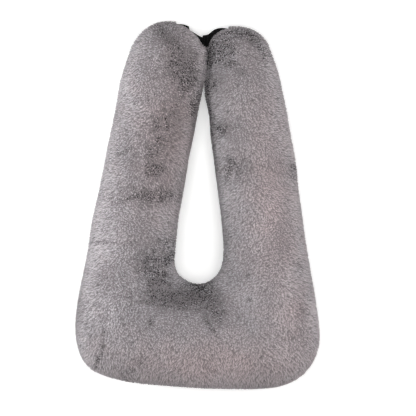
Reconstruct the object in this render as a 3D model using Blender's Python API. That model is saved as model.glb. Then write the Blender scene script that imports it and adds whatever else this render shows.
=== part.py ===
"""A plush U-shaped travel pillow with a webbing strap behind the tips of its arms.

The pillow lies on its back on a floor at z = 0, with its face up and its arms along +Y.
The origin is on the floor, under the middle of the pillow's length and width. Blender's
unit is the metre. The tables are in millimetres, as a pattern cutter writes them.
"""

import math
from collections import namedtuple

import bmesh
import bpy
from mathutils import Vector

MM = 0.001

# The seam between face and back runs round the pillow at this height. The back reaches
# below the floor before the pillow's weight presses it flat.
SEAM_HEIGHT = 56.0
# 2 is an ellipse, and more is squarer, as tight filling makes it.
SECTION_SQUARENESS = 2.15
SECTION_POINTS = 32
STEPS_PER_ROW = 2

# One row for each cross-section, from the left tip round the base to the right tip: where
# it meets the outer and the inner edge of the U, and how far the face rises above the seam
# and the back reaches below it.
Section = namedtuple("Section", "outer_x outer_y inner_x inner_y crown belly")
SECTIONS = [
    # Left arm, downwards
    Section(-117.0, 250, 14.4, 250, 56.0, 52.5),
    Section(-126.2, 222, 13.6, 222, 60.0, 58.5),
    Section(-132.2, 196, 9.2, 196, 61.0, 61.0),
    Section(-138.8, 157, 0.6, 157, 60.0, 61.5),
    Section(-147.4, 116, -6.2, 118, 61.5, 61.5),
    Section(-156.5, 72, -15.1, 76, 62.5, 62.0),
    Section(-166.5, 20, -23.6, 22, 61.0, 62.0),
    Section(-177.3, -24, -32.2, -24, 62.0, 62.0),
    Section(-182.6, -62, -36.0, -62, 64.5, 62.5),
    # Left half of the base
    Section(-190.0, -104, -39.2, -93, 68.0, 63.0),
    Section(-200.5, -156, -36.6, -109, 71.0, 63.5),
    Section(-206.0, -204, -31.5, -117.5, 72.5, 64.0),
    Section(-199.5, -250, -25.0, -123.5, 72.0, 64.0),
    Section(-174.0, -281, -18.0, -127.5, 74.0, 64.0),
    Section(-118.0, -298, -10.0, -131, 76.0, 64.0),
    Section(-52.0, -304.5, -3.5, -133, 77.0, 64.0),
    Section(14.0, -308.8, 3.0, -133.4, 76.0, 64.0),
    # Right half of the base
    Section(82.0, -310.2, 9.5, -132.6, 76.5, 64.0),
    Section(138.0, -306.3, 16.5, -130, 75.5, 64.0),
    Section(179.5, -285.5, 25.0, -125, 73.0, 64.0),
    Section(201.5, -251, 31.5, -119, 71.5, 64.0),
    Section(206.0, -213, 36.5, -112, 72.0, 64.0),
    Section(198.7, -158, 41.5, -101, 70.0, 63.5),
    Section(189.0, -102, 43.7, -84, 67.0, 63.0),
    # Right arm, upwards
    Section(181.7, -58, 43.4, -58, 64.0, 62.5),
    Section(176.7, -20, 40.2, -24, 62.0, 62.0),
    Section(170.7, 22, 34.9, 22, 60.5, 62.0),
    Section(165.2, 74, 27.5, 76, 61.5, 62.0),
    Section(156.9, 118, 22.2, 118, 60.5, 61.5),
    Section(150.4, 157, 19.0, 157, 59.5, 61.5),
    Section(142.9, 192, 11.4, 192, 60.0, 61.0),
    Section(136.6, 222, 15.2, 222, 59.0, 58.5),
    Section(126.3, 250, 15.9, 250, 55.5, 52.5),
]

# Each tip is a dome from the section beside it to its apex. A share u of the way up, a side's
# width is (1 - u ** rise) ** (1 / bluntness) of that section's. The inner sides slope more.
Tip = namedtuple("Tip", "apex_x apex_y outer_rise outer_bluntness inner_rise inner_bluntness")
LEFT_TIP = Tip(-41.0, 310.3, 1.6, 2.9, 1.75, 1.5)
RIGHT_TIP = Tip(58.0, 301.3, 2.8, 2.5, 1.8, 1.9)
TIP_RINGS = 9
TIP_CROWN_POWER = 0.9
TIP_BELLY_POWER = 1.4
TIP_CAP_RISE = 0.8

# Soft hollows in the face, where the filling is slack or the seam pulls it down
Hollow = namedtuple("Hollow", "x y reach depth")
HOLLOWS = [
    Hollow(-58, -128, 46, 5.0),
    Hollow(-12, -166, 58, 7.5),
    Hollow(48, -160, 48, 4.5),
    Hollow(-38, 212, 52, 5.0),
    Hollow(42, 238, 44, 4.0),
    Hollow(-92, -18, 62, 3.5),
    Hollow(108, 52, 60, 3.0),
    Hollow(126, -182, 56, 4.0),
    Hollow(-170, -240, 34, 3.5),
    Hollow(-40, -262, 60, 3.0),
]

# Webbing
WEBBING_THICKNESS = 2.0
WEBBING_COLUMNS = 4
WEBBING_STEPS = 3
# From the middle of one layer to the middle of the layer folded under it
LAYER_STEP = 2.9
FOLD_RADIUS = LAYER_STEP / 2
FOLD_STEPS = 4

# One row for each step along a strap: the place and height of its upper and lower edge, at
# the middle of its thickness. The sewn ends lie against the back of the tips.
Webbing = namedtuple("Webbing", "x upper_y upper_z lower_y lower_z")
LEFT_SEWN_LAYER = [
    Webbing(-14.0, 301.5, 28.0, 273.5, 16.0),
    Webbing(-23.0, 305.0, 27.0, 275.0, 14.0),
    Webbing(-38.0, 306.0, 24.5, 276.0, 11.0),
    Webbing(-60.0, 300.0, 21.5, 270.0, 8.0),
]
LEFT_LEADING_LAYER = [
    Webbing(-60.0, 300.0, 18.6, 270.0, 5.3),
    Webbing(-38.0, 302.5, 18.0, 272.5, 5.0),
    Webbing(-16.0, 297.5, 11.0, 267.5, 2.8),
    Webbing(0.5, 288.0, 4.5, 258.0, 1.6),
    Webbing(9.5, 284.3, 2.0, 254.3, 1.4),
    Webbing(34.0, 281.0, 1.4, 253.0, 1.4),
]
RIGHT_LAYER = [
    Webbing(10.6, 287.5, 5.2, 257.5, 4.3),
    Webbing(18.5, 289.4, 5.0, 259.4, 4.3),
    Webbing(24.5, 294.4, 5.4, 264.2, 4.3),
    Webbing(31.0, 298.3, 6.6, 268.3, 4.6),
    Webbing(41.0, 300.0, 12.0, 270.2, 6.8),
    Webbing(52.0, 298.2, 16.5, 269.2, 7.1),
    Webbing(65.0, 294.3, 15.0, 265.6, 4.3),
    Webbing(80.0, 288.8, 12.0, 260.8, 2.9),
]

# Colour as red, green and blue in linear light, then roughness
PLUSH_GREY = ((0.28, 0.25, 0.255), 0.95)
WEBBING_BLACK = ((0.008, 0.008, 0.009), 0.75)


def material(name, finish):
    """A Principled material of one colour and roughness."""
    colour, roughness = finish
    made = bpy.data.materials.new(name)
    made.use_nodes = True
    shader = made.node_tree.nodes["Principled BSDF"]
    shader.inputs["Base Color"].default_value = (*colour, 1.0)
    shader.inputs["Roughness"].default_value = roughness
    shader.inputs["Metallic"].default_value = 0.0
    return made


def smoothed(rows, steps):
    """Rows read from one smooth curve through a table's rows, so many to each gap."""
    kind = type(rows[0])
    before = kind(*(2 * a - b for a, b in zip(rows[0], rows[1])))
    after = kind(*(2 * a - b for a, b in zip(rows[-1], rows[-2])))
    knots = [before, *rows, after]
    read = []
    for four in zip(knots, knots[1:], knots[2:], knots[3:]):
        for step in range(steps):
            t = step / steps
            read.append(kind(*(curve_value(values, t) for values in zip(*four))))
    return [*read, rows[-1]]


def curve_value(four, t):
    """The Catmull-Rom value between the second and third of four knots."""
    a, b, c, d = four
    return 0.5 * (
        2 * b
        + (c - a) * t
        + (2 * a - 5 * b + 4 * c - d) * t**2
        + (3 * b - a - 3 * c + d) * t**3
    )


def tip_sections(root, tip):
    """A tip's sections from its root to near its apex, closer together as it rounds off."""
    middle = Vector((root.outer_x + root.inner_x, root.outer_y + root.inner_y)) / 2
    half = Vector((root.outer_x - root.inner_x, root.outer_y - root.inner_y)) / 2
    way = Vector((tip.apex_x, tip.apex_y)) - middle
    made = []
    for ring in range(1, TIP_RINGS + 1):
        width = math.cos(ring / (TIP_RINGS + 1) * math.pi / 2)
        outer_share = (1 - width**tip.outer_bluntness) ** (1 / tip.outer_rise)
        inner_share = (1 - width**tip.inner_bluntness) ** (1 / tip.inner_rise)
        outer = middle + way * outer_share + half * width
        inner = middle + way * inner_share - half * width
        crown = root.crown * width**TIP_CROWN_POWER
        belly = root.belly * width**TIP_BELLY_POWER
        made.append(Section(*outer, *inner, crown, belly))
    return made


def hollow_depth(x, y):
    """How far the hollows lower the face at a place."""
    depth = 0.0
    for hollow in HOLLOWS:
        away = math.hypot(x - hollow.x, y - hollow.y) / hollow.reach
        depth += hollow.depth * max(0.0, 1 - away**2) ** 2
    return depth


def section_point(section, turn):
    """A point of a section's rim, turn radians from its outer edge up over the face."""
    outer = Vector((section.outer_x, section.outer_y))
    inner = Vector((section.inner_x, section.inner_y))
    power = 2 / SECTION_SQUARENESS
    across = math.copysign(abs(math.cos(turn)) ** power, math.cos(turn))
    rise = math.copysign(abs(math.sin(turn)) ** power, math.sin(turn))
    x, y = (outer + inner) / 2 + (outer - inner) / 2 * across
    if rise > 0:
        z = SEAM_HEIGHT + (section.crown - hollow_depth(x, y)) * rise
    else:
        z = SEAM_HEIGHT + section.belly * rise
    return Vector((x, y, max(z, 0.0))) * MM


def grid_mesh(rows, columns, place):
    """A bmesh grid with each vertex put where place(row, column) says."""
    mesh = bmesh.new()
    bmesh.ops.create_grid(mesh, x_segments=columns, y_segments=rows, size=1.0)
    mesh.verts.ensure_lookup_table()
    for index, vertex in enumerate(mesh.verts):
        row, column = divmod(index, columns + 1)
        vertex.co = place(row, column)
    return mesh


def add_object(name, mesh, finish):
    """Turns a bmesh into a named, smooth shaded object with its material."""
    data = bpy.data.meshes.new(name)
    mesh.to_mesh(data)
    mesh.free()
    data.materials.append(finish)
    data.shade_smooth()
    made = bpy.data.objects.new(name, data)
    bpy.context.scene.collection.objects.link(made)
    return made


def build_pillow():
    """The filled cover: sections joined round the U, with both tips closed."""
    body = smoothed(SECTIONS, STEPS_PER_ROW)
    left = tip_sections(SECTIONS[0], LEFT_TIP)
    right = tip_sections(SECTIONS[-1], RIGHT_TIP)
    sections = [*reversed(left), *body, *right]

    def place(row, column):
        turn = 2 * math.pi * (column % SECTION_POINTS) / SECTION_POINTS
        return section_point(sections[row], turn)

    mesh = grid_mesh(len(sections) - 1, SECTION_POINTS, place)
    bmesh.ops.remove_doubles(mesh, verts=mesh.verts, dist=0.001 * MM)
    rims = [edge for edge in mesh.edges if edge.is_boundary]
    caps = bmesh.ops.holes_fill(mesh, edges=rims, sides=SECTION_POINTS)["faces"]
    bmesh.ops.recalc_face_normals(mesh, faces=mesh.faces)
    bmesh.ops.poke(mesh, faces=caps, offset=TIP_CAP_RISE * MM)
    return add_object("pillow", mesh, material("plush", PLUSH_GREY))


def strap_row(row):
    """The points across one step of a strap, from its lower to its upper edge."""
    lower = Vector((row.x, row.lower_y, row.lower_z))
    upper = Vector((row.x, row.upper_y, row.upper_z))
    return [lower.lerp(upper, column / WEBBING_COLUMNS) for column in range(WEBBING_COLUMNS + 1)]


def strap_rows(layer):
    """A layer of webbing as rows of points, read smoothly from its table."""
    return [strap_row(row) for row in smoothed(layer, WEBBING_STEPS)]


def fold_rows(last):
    """The rows of the half turn that carries webbing from one layer to the one below."""
    made = []
    for step in range(1, FOLD_STEPS):
        turn = math.pi * step / FOLD_STEPS
        aside = -FOLD_RADIUS * math.sin(turn)
        down = -FOLD_RADIUS * (1 - math.cos(turn))
        made.append([point + Vector((aside, 0, down)) for point in last])
    return made


def build_strap(name, rows, finish):
    """A strip of webbing through rows of points, given its thickness evenly about them."""
    mesh = grid_mesh(len(rows) - 1, WEBBING_COLUMNS, lambda row, column: rows[row][column] * MM)
    made = add_object(name, mesh, finish)
    thickness = made.modifiers.new("thickness", "SOLIDIFY")
    thickness.thickness = WEBBING_THICKNESS * MM
    thickness.offset = 0.0
    return made


def build_straps():
    """Both halves of the strap, each sewn to the back of its own tip."""
    webbing = material("webbing", WEBBING_BLACK)
    sewn = strap_rows(LEFT_SEWN_LAYER)
    leading = strap_rows(LEFT_LEADING_LAYER)
    build_strap("strap_left", [*sewn, *fold_rows(sewn[-1]), *leading], webbing)
    build_strap("strap_right", strap_rows(RIGHT_LAYER), webbing)


def main():
    """Clears the scene and builds the pillow and its straps."""
    for old in list(bpy.data.objects):
        bpy.data.objects.remove(old)
    build_pillow()
    build_straps()


main()
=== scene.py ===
"""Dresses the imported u-shaped travel pillow for its picture and its visual model.

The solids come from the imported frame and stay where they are. The pillow's solid gives way to
a filled cover with real pile on it, and each strap's solid to webbing of the same form. The
pillow lies on its back on the floor at z = 0, with its face up and its arms along +Y.
Blender's unit is the metre, and sizes that end in * MM are millimetres.
"""

import logging
import math
from collections.abc import Iterator
from dataclasses import dataclass
from enum import Enum

import bmesh
import bpy
import numpy as np
from mathutils import Matrix, Vector
from mathutils.bvhtree import BVHTree
from mathutils.kdtree import KDTree


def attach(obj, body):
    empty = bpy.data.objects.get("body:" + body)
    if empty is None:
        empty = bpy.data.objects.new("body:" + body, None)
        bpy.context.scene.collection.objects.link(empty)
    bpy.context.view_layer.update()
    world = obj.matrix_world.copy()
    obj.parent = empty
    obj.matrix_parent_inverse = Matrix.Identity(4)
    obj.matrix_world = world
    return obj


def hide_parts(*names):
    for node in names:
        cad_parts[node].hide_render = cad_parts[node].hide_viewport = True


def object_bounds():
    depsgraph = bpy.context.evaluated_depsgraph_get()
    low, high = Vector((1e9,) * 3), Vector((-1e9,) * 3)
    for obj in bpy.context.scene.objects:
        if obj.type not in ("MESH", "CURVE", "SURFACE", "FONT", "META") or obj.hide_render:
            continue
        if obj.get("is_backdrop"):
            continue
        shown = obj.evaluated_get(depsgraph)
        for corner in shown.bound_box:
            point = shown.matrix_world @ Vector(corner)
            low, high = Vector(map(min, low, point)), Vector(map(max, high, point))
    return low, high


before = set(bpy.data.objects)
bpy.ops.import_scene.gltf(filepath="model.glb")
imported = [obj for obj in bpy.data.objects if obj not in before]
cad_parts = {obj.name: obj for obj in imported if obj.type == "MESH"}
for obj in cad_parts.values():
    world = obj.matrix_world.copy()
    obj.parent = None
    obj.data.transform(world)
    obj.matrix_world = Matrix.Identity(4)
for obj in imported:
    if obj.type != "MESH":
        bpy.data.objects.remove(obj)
CAD_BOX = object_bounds()

MM = 0.001
BODY = "root"
LOG = logging.getLogger("travel_pillow")


# A wave texture of scale 1 repeats its bands after this many metres.
WAVE_TURN = math.tau / 20

# Points nearer to each other than this are one.
TOUCHING = 0.01 * MM


def linear(hex_colour: str) -> tuple[float, float, float, float]:
    """Turns an sRGB hex colour to linear light.

    Args:
        hex_colour: The colour as "#rrggbb".

    Returns:
        Red, green, blue and alpha from 0 to 1.
    """
    parts = (int(hex_colour[start:start + 2], 16) / 255 for start in (1, 3, 5))
    light = (p / 12.92 if p <= 0.04045 else ((p + 0.055) / 1.055) ** 2.4 for p in parts)
    return (*light, 1.0)


def add_node(
    tree: bpy.types.NodeTree,
    kind: str,
    output: str | int | None = 0,
    inputs: dict[str | int, object] | None = None,
    **settings: object,
) -> bpy.types.NodeSocket | None:
    """Adds a shader node.

    Args:
        tree: The material's nodes.
        kind: The node's type name, after "ShaderNode".
        output: The output socket that is wanted, if any.
        inputs: What each input socket gets: a constant, or the output socket that feeds it.
        settings: The node's own properties.

    Returns:
        The wanted output socket.
    """
    node = tree.nodes.new(f"ShaderNode{kind}")
    for name, value in settings.items():
        setattr(node, name, value)
    for name, value in (inputs or {}).items():
        if isinstance(value, bpy.types.NodeSocket):
            tree.links.new(value, node.inputs[name])
        else:
            node.inputs[name].default_value = value
    return None if output is None else node.outputs[output]


def add_object(name: str, data: bpy.types.ID) -> bpy.types.Object:
    """Shows a mesh, light or camera as an object at the origin.

    Args:
        name: The object's name.
        data: The mesh, light or camera.

    Returns:
        The object.
    """
    made = bpy.data.objects.new(name, data)
    bpy.context.scene.collection.objects.link(made)
    return made


def add_shape(
    name: str, shape: bmesh.types.BMesh, material: bpy.types.Material
) -> bpy.types.Object:
    """Shows a bmesh as a smooth shaded object, and frees it.

    Args:
        name: The object's name.
        shape: The bmesh, already in place.
        material: Its only material.

    Returns:
        The object.
    """
    mesh = bpy.data.meshes.new(name)
    shape.to_mesh(mesh)
    shape.free()
    mesh.shade_smooth()
    mesh.materials.append(material)
    return add_object(name, mesh)


def merged_copy(node: bpy.types.Object) -> bmesh.types.BMesh:
    """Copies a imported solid, whose triangles are loose, as one closed skin.

    Args:
        node: The solid's object.

    Returns:
        The skin as a bmesh.
    """
    shape = bmesh.new()
    shape.from_mesh(node.data)
    bmesh.ops.remove_doubles(shape, verts=shape.verts, dist=TOUCHING)
    return shape


def read_rows(items: bpy.types.bpy_prop_collection, name: str, kind: type = float) -> np.ndarray:
    """Reads three numbers from each vertex or triangle of a mesh.

    Args:
        items: The vertices or triangles.
        name: The property that holds the numbers.
        kind: What the numbers are, float or int.

    Returns:
        One row for each item.
    """
    flat = np.empty(len(items) * 3, {float: np.float32, int: np.int32}[kind])
    items.foreach_get(name, flat)
    return flat.reshape(-1, 3).astype(kind)


def write_points(mesh: bpy.types.Mesh, points: np.ndarray) -> None:
    """Moves a mesh's vertices to the places in the rows."""
    mesh.vertices.foreach_set("co", points.astype(np.float32).ravel())
    mesh.update()


def unit(rows: np.ndarray) -> np.ndarray:
    """Scales each row to length 1."""
    return rows / np.maximum(np.linalg.norm(rows, axis=-1, keepdims=True), 1e-12)


def sorted_places(places: np.ndarray) -> KDTree:
    """Sorts places so that those near another are quickly found.

    Args:
        places: The places, one a row.

    Returns:
        The sorted places, numbered by their rows.
    """
    tree = KDTree(len(places))
    for number, place in enumerate(places):
        tree.insert(place, number)
    tree.balance()
    return tree


def apply_modifiers(thing: bpy.types.Object) -> None:
    """Keeps an object as its modifiers shape it, and takes them off.

    Args:
        thing: A mesh object.
    """
    graph = bpy.context.evaluated_depsgraph_get()
    shaped = bpy.data.meshes.new_from_object(thing.evaluated_get(graph))
    plain = thing.data
    thing.modifiers.clear()
    thing.data = shaped
    bpy.data.meshes.remove(plain)


@dataclass(frozen=True)
class Wander:
    """A smooth random value over the cloth, made of plane waves.

    Attributes:
        seed: What its random draws start from.
        length: Its usual distance from crest to crest.
        waves: How many waves it adds up.
        spread: The shortest and longest wave, as shares of the length.
    """

    seed: int
    length: float
    waves: int = 14
    spread: tuple[float, float] = (0.7, 1.5)

    def at(self, points: np.ndarray) -> np.ndarray:
        """Reads the value at places.

        Args:
            points: Places, one a row.

        Returns:
            One value for each place, from -1 to 1.
        """
        draw = np.random.default_rng(self.seed)
        ways = unit(draw.normal(size=(self.waves, 3)))
        lengths = self.length * draw.uniform(*self.spread, self.waves)
        starts = draw.uniform(0, math.tau, self.waves)
        turns = points @ (ways / lengths[:, None]).T * math.tau + starts
        total = np.sin(turns).sum(axis=1) / math.sqrt(self.waves)
        return np.clip(total, -1.0, 1.0)


@dataclass(frozen=True)
class Finish:
    """What a piece is made of, as the eye sees it.

    Attributes:
        name: The material's name.
    """

    name: str

    def material(self) -> bpy.types.Material:
        """Builds the material.

        Returns:
            The material.
        """
        material = bpy.data.materials.new(self.name)
        material.use_nodes = True
        tree = material.node_tree
        tree.nodes.clear()
        shader = add_node(tree, "BsdfPrincipled", "BSDF", self.surface(tree))
        add_node(tree, "OutputMaterial", None, {"Surface": shader})
        return material

    def surface(self, tree: bpy.types.NodeTree) -> dict[str | int, object]:
        """Draws the surface.

        Args:
            tree: The material's nodes.

        Returns:
            What the shader's inputs get.
        """
        raise NotImplementedError


@dataclass(frozen=True)
class PileFinish(Finish):
    """Polyester faux rabbit plush: fine crimped fibres, heat set and brushed into soft locks.

    The fibres scatter light like felt and have a faint bloom where they are seen edge on. Down
    between them hardly any light comes back, so a lock's root is painted darker than its tip, as
    painted shade. The grey turns rosy in broad patches, as melange fibre does. Painted shade
    darkens thin gaps between the curls where it was ruffled up. They are drawn some 4 mm apart,
    about twice as coarse as real, because finer ones would not show.
    """

    name: str = "plush_pile"
    grey: str = "#aba7aa"
    rosy_grey: str = "#b1a4a5"
    hue_patch: float = 24 * MM
    hue_detail: float = 1.5
    hue_range: tuple[float, float] = (0.3, 0.7)
    hue_change: float = 0.15
    shaded_root_share: float = 0.3
    tip_share: float = 1.4
    gap_size: float = 2.2 * MM
    gap_edge: tuple[float, float] = (0.54, 0.46)
    gap_shade: float = 0.9
    full_ruffle: float = 0.45
    roughness: tuple[float, float] = (0.8, 0.96)
    roughness_grain: float = 5 * MM
    roughness_detail: float = 2.0
    bloom: float = 0.1
    bloom_roughness: float = 0.55
    gloss: float = 0.2

    def surface(self, tree: bpy.types.NodeTree) -> dict[str | int, object]:
        """Draws the pile from each lock's tone, painted shade and light included, and its rise,
        rosiness and ruffling.

        Args:
            tree: The material's nodes.

        Returns:
            What the shader's inputs get.
        """
        place = add_node(tree, "TexCoord", "Object")
        tone, rise, rosy, ruffled = (
            add_node(tree, "Attribute", "Fac", attribute_name=name)
            for name in ("tone", "rise", "rosy", "ruffled")
        )
        patches, grain = (
            add_node(tree, "TexNoise", "Fac", {"Vector": place, "Scale": 1 / size, "Detail": detail})
            for size, detail in (
                (self.hue_patch, self.hue_detail), (self.roughness_grain, self.roughness_detail)
            )
        )
        low, high = self.hue_range
        change = add_node(tree, "MapRange", "Result", {
            "Value": patches, "From Min": low, "From Max": high,
            "To Min": -self.hue_change, "To Max": self.hue_change,
        })
        mixed = add_node(tree, "Math", 0, {0: change, 1: rosy}, operation="ADD", use_clamp=True)
        hue = add_node(
            tree, "Mix", 2, {0: mixed, 6: linear(self.grey), 7: linear(self.rosy_grey)},
            data_type="RGBA",
        )
        # Painted shade: each lock's colour is darkest at its root and palest at its tip.
        share = add_node(tree, "MapRange", "Result", {
            "Value": rise, "To Min": self.shaded_root_share, "To Max": self.tip_share,
        })
        # The lock's tone, painted shade and light included, and the painted shade of the gaps scale
        # the colour.
        for other in (tone, self.gaps(tree, place, ruffled)):
            share = add_node(tree, "Math", 0, {0: other, 1: share}, operation="MULTIPLY")
        roughness = add_node(tree, "MapRange", "Result", {
            "Value": grain, "To Min": self.roughness[0], "To Max": self.roughness[1],
        })
        return {
            "Base Color": add_node(
                tree, "VectorMath", 0, {0: hue, "Scale": share}, operation="SCALE"
            ),
            "Roughness": roughness,
            "Specular IOR Level": self.gloss,
            "Sheen Weight": self.bloom,
            "Sheen Roughness": self.bloom_roughness,
        }

    def gaps(
        self, tree: bpy.types.NodeTree, place: bpy.types.NodeSocket, ruffled: bpy.types.NodeSocket
    ) -> bpy.types.NodeSocket:
        """Paints shade into the thin gaps between ruffled curls, the same all the way down the pile.

        Args:
            tree: The material's nodes.
            place: The place that is shaded.
            ruffled: How ruffled the pile is there.

        Returns:
            How bright the pile is there, from 0 in a gap to 1.
        """
        down = add_node(tree, "Mapping", 0, {"Vector": place, "Scale": (1, 1, 0)})
        curls = add_node(
            tree, "TexNoise", "Fac", {"Vector": down, "Scale": 1 / self.gap_size, "Detail": 0.0}
        )
        curl, hollow = self.gap_edge
        gap = add_node(
            tree, "MapRange", "Result", {"Value": curls, "From Min": curl, "From Max": hollow}
        )
        # The gaps' painted shade is deepest where the pile is fully ruffled.
        deepest = add_node(tree, "MapRange", "Result", {
            "Value": ruffled, "From Max": self.full_ruffle, "To Max": -self.gap_shade,
        })
        return add_node(tree, "Math", 0, {0: gap, 1: deepest, 2: 1.0}, operation="MULTIPLY_ADD")


@dataclass(frozen=True)
class GroundFinish(Finish):
    """The plush's knitted ground: a fine polyester jersey, seen only between the locks.

    Its colour is the pile's colour in deep painted shade, and painted darker still between the
    loops of the knit, which are raised on it. The loops are drawn at 1.6 mm, about twice their
    real pitch, because finer ones would not show.
    """

    name: str = "plush_ground"
    shade: str = "#857f81"
    shade_between_loops: str = "#6b6668"
    loop_pitch: float = 1.6 * MM
    loop_scatter: float = 0.7
    loop_height: float = 0.25 * MM
    loop_relief: float = 0.8
    mottle: float = 14 * MM
    mottle_detail: float = 3.0
    roughness: float = 0.95
    gloss: float = 0.15

    def surface(self, tree: bpy.types.NodeTree) -> dict[str | int, object]:
        """Draws the ground.

        Args:
            tree: The material's nodes.

        Returns:
            What the shader's inputs get.
        """
        place = add_node(tree, "TexCoord", "Object")
        loops = add_node(tree, "TexVoronoi", "Distance", {
            "Vector": place, "Scale": 1 / self.loop_pitch, "Randomness": self.loop_scatter,
        })
        mottle = add_node(tree, "TexNoise", "Fac", {
            "Vector": place, "Scale": 1 / self.mottle, "Detail": self.mottle_detail,
        })
        mixed = add_node(tree, "Math", 0, {0: loops, 1: mottle}, operation="MULTIPLY")
        # Painted shade: the loops' middles in the ground's shade, and the ground between them
        # darker.
        colours = {6: linear(self.shade), 7: linear(self.shade_between_loops)}
        return {
            "Base Color": add_node(tree, "Mix", 2, {0: mixed, **colours}, data_type="RGBA"),
            "Roughness": self.roughness,
            "Specular IOR Level": self.gloss,
            "Normal": add_node(tree, "Bump", 0, {
                "Height": loops, "Strength": self.loop_relief, "Distance": self.loop_height,
            }, invert=True),
        }


@dataclass(frozen=True)
class WebbingFinish(Finish):
    """Black polypropylene webbing: flat filament yarn in a tight plain weave.

    The yarn is slightly glossy along its ribs, and the weave's valleys are painted darkest, as
    painted shade. Ribs cross the strap every 1.5 mm, and warp yarns lie 1.1 mm apart.
    """

    name: str = "woven_webbing"
    yarn: str = "#09090a"
    valley_shade: str = "#030303"
    rib_pitch: float = 1.5 * MM
    warp_pitch: float = 1.1 * MM
    yarn_sway: float = 0.6
    yarn_detail: float = 1.0
    rib_height: float = 0.3 * MM
    rib_relief: float = 0.7
    roughness: tuple[float, float] = (0.8, 0.45)
    gloss: float = 0.2
    bloom: float = 0.03

    def surface(self, tree: bpy.types.NodeTree) -> dict[str | int, object]:
        """Draws the webbing.

        Args:
            tree: The material's nodes.

        Returns:
            What the shader's inputs get.
        """
        place = add_node(tree, "TexCoord", "Object")
        ribs, warp = (
            add_node(tree, "TexWave", "Fac", {
                "Vector": place, "Scale": WAVE_TURN / pitch,
                "Distortion": self.yarn_sway, "Detail": self.yarn_detail,
            }, bands_direction=axis)
            for axis, pitch in (("X", self.rib_pitch), ("Y", self.warp_pitch))
        )
        weave = add_node(tree, "Math", 0, {0: ribs, 1: warp}, operation="MULTIPLY")
        # Painted shade in the weave's valleys, the yarn paler.
        colours = {6: linear(self.valley_shade), 7: linear(self.yarn)}
        return {
            "Base Color": add_node(tree, "Mix", 2, {0: weave, **colours}, data_type="RGBA"),
            "Roughness": add_node(tree, "MapRange", "Result", {
                "Value": weave, "To Min": self.roughness[0], "To Max": self.roughness[1],
            }),
            "Specular IOR Level": self.gloss,
            "Sheen Weight": self.bloom,
            "Normal": add_node(tree, "Bump", 0, {
                "Height": weave, "Strength": self.rib_relief, "Distance": self.rib_height,
            }),
        }


@dataclass(frozen=True)
class ThreadFinish(Finish):
    """Three-ply polyester sewing thread, dull black, whose plies show as slanting ridges with a
    painted highlight on each and painted shade between.
    """

    name: str = "sewing_thread"
    ply_highlight: str = "#2c2c2e"
    groove_shade: str = "#0f0f10"
    ply_pitch: float = 0.5 * MM
    ply_height: float = 0.05 * MM
    ply_relief: float = 0.5
    roughness: float = 0.6

    def surface(self, tree: bpy.types.NodeTree) -> dict[str | int, object]:
        """Draws the thread.

        Args:
            tree: The material's nodes.

        Returns:
            What the shader's inputs get.
        """
        place = add_node(tree, "TexCoord", "Object")
        plies = add_node(
            tree, "TexWave", "Fac", {"Vector": place, "Scale": WAVE_TURN / self.ply_pitch},
            bands_direction="DIAGONAL",
        )
        # Painted highlight on the plies' crests and painted shade in their grooves.
        colours = {6: linear(self.groove_shade), 7: linear(self.ply_highlight)}
        return {
            "Base Color": add_node(tree, "Mix", 2, {0: plies, **colours}, data_type="RGBA"),
            "Roughness": self.roughness,
            "Normal": add_node(tree, "Bump", 0, {
                "Height": plies, "Strength": self.ply_relief, "Distance": self.ply_height,
            }),
        }


@dataclass(frozen=True)
class PaperFinish(Finish):
    """The light table's matt white paper, which glows from below."""

    name: str = "pale_paper"
    colour: str = "#f6f6f5"
    roughness: float = 0.9
    glow_colour: str = "#ffffff"
    glow: float = 0.29

    def surface(self, tree: bpy.types.NodeTree) -> dict[str | int, object]:
        """Draws the paper, which is even.

        Args:
            tree: The material's nodes, not used here.

        Returns:
            What the shader's inputs get.
        """
        return {
            "Base Color": linear(self.colour),
            "Roughness": self.roughness,
            "Emission Color": linear(self.glow_colour),
            "Emission Strength": self.glow,
        }


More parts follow.
